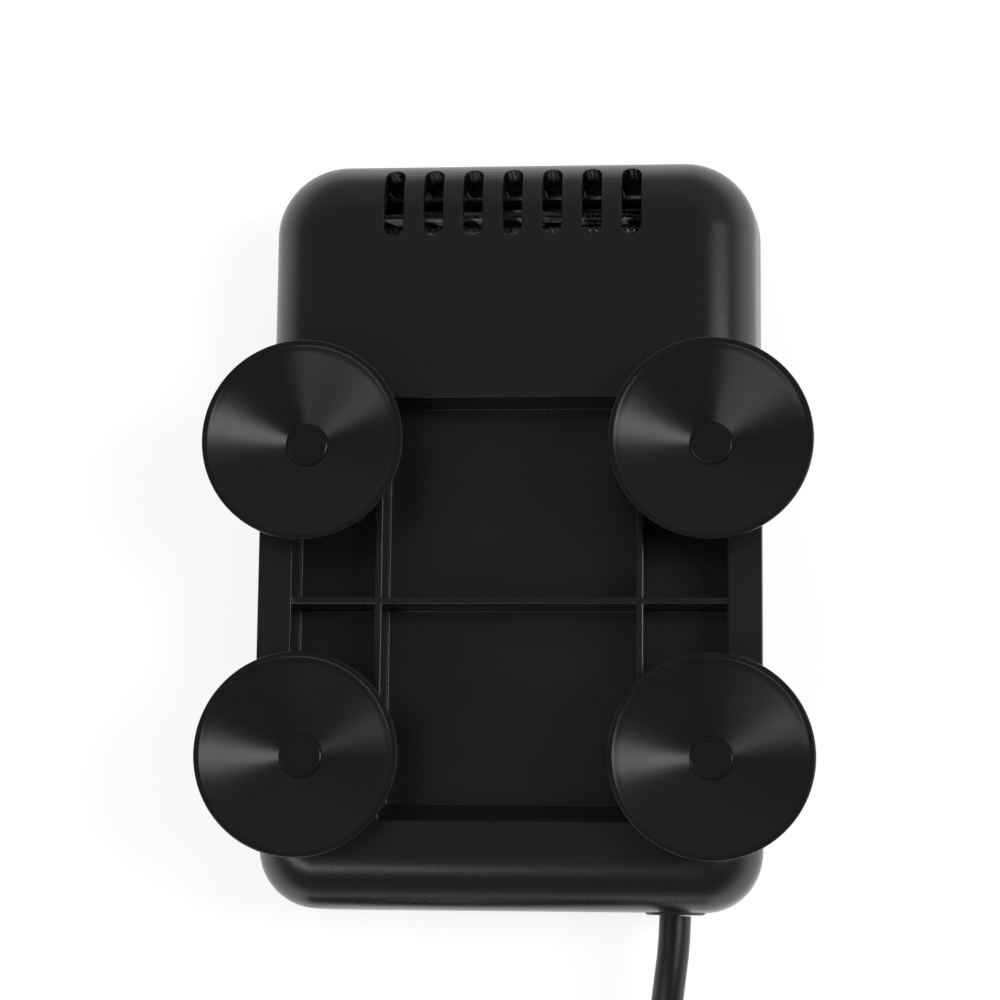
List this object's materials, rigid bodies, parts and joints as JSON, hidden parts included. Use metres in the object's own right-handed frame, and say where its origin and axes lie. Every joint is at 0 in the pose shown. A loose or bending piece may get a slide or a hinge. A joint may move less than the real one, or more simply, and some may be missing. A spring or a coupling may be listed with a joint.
{
  "type": "submersible aquarium heater",
  "caption": "Flat black submersible aquarium heater with a slotted hood, ribbed back recess, suction cups, sealed controller and mains lead.",
  "frame": {"origin": "on the plane of the front face, under the middle of the housing", "axes": "+Z out of the back, where the suction cups are; +Y to the vented end; the lead leaves the -Y end"},
  "size_m": [0.1092, 0.2779, 0.046],
  "materials": {
    "housing_black": "fine satin grain",
    "cup_rubber": "smooth moulded soft vinyl",
    "zinc_steel": "zinc plated",
    "quartz": "clear fused quartz",
    "core_ceramic": "unglazed",
    "resistance_wire": "oxidised alloy",
    "cap_silicone": "matte",
    "bracket_plastic": "matte",
    "cutout_ceramic": "unglazed",
    "lead_insulation": "silicone sleeve",
    "capsule_plastic": "matte",
    "seal_rubber": "matte",
    "board_laminate": "solder mask",
    "display_black": "gloss",
    "window_smoke": "smoked clear plastic",
    "component_black": "moulded epoxy",
    "terminal_plastic": "matte",
    "switch_plastic": "matte",
    "button_rubber": "matte",
    "button_plastic": "satin",
    "stainless": "brushed",
    "core_insulation": "PVC sleeve",
    "gland_rubber": "matte",
    "cord_jacket": "satin PVC",
    "tie_plastic": "matte",
    "plug_plastic": "moulded PVC",
    "pin_brass": "plated"
  },
  "bodies": {
    "housing": {"back_shell": "housing_black", "front_shell": "housing_black", "housing_screws": "zinc_steel", "quartz_tube_upper": "quartz", "quartz_tube_lower": "quartz", "element_core_upper": "core_ceramic", "element_core_lower": "core_ceramic", "element_wire_upper": "resistance_wire", "element_wire_lower": "resistance_wire", "tube_cap_upper_left": "cap_silicone", "tube_cap_upper_right": "cap_silicone", "tube_cap_lower_left": "cap_silicone", "tube_cap_lower_right": "cap_silicone", "tube_bracket_left": "bracket_plastic", "tube_bracket_right": "bracket_plastic", "thermal_cutout": "cutout_ceramic", "heater_leads": "lead_insulation", "capsule_body": "capsule_plastic", "capsule_lid": "capsule_plastic", "capsule_seal": "seal_rubber", "capsule_screws": "zinc_steel", "control_board": "board_laminate", "display_module": "display_black", "display_window": "window_smoke", "power_triac": "component_black", "terminal_block": "terminal_plastic", "button_switch": "switch_plastic", "button_seal": "button_rubber", "temperature_probe": "stainless", "probe_seal": "seal_rubber", "water_sensor_pins": "stainless", "mains_cores": "core_insulation", "cord_gland": "gland_rubber", "cord": "cord_jacket", "cord_coil": "cord_jacket", "cord_tie": "tie_plastic", "plug_body": "plug_plastic", "plug_pins": "pin_brass"},
    "set_button": {"set_button": "button_plastic"},
    "suction_cup_upper_left": {"suction_cup_upper_left": "cup_rubber"},
    "suction_cup_upper_right": {"suction_cup_upper_right": "cup_rubber"},
    "suction_cup_lower_left": {"suction_cup_lower_left": "cup_rubber"},
    "suction_cup_lower_right": {"suction_cup_lower_right": "cup_rubber"}
  },
  "joints": [
    {"name": "suction_cup_upper_left_turn", "type": "hinge", "parent": "housing", "child": "suction_cup_upper_left", "pos_m": [-0.0352, 0.013, 0.036], "axis": [0, 0, 1], "continuous": true},
    {"name": "suction_cup_upper_right_turn", "type": "hinge", "parent": "housing", "child": "suction_cup_upper_right", "pos_m": [0.0352, 0.013, 0.036], "axis": [0, 0, 1], "continuous": true},
    {"name": "suction_cup_lower_left_turn", "type": "hinge", "parent": "housing", "child": "suction_cup_lower_left", "pos_m": [-0.0352, -0.0412, 0.036], "axis": [0, 0, 1], "continuous": true},
    {"name": "suction_cup_lower_right_turn", "type": "hinge", "parent": "housing", "child": "suction_cup_lower_right", "pos_m": [0.0352, -0.0412, 0.036], "axis": [0, 0, 1], "continuous": true},
    {"name": "set_button_press", "type": "slide", "parent": "housing", "child": "set_button", "axis": [0, 0, 1], "range_m": [0, 0.0006], "stiffness_N_per_m": 300}
  ]
}
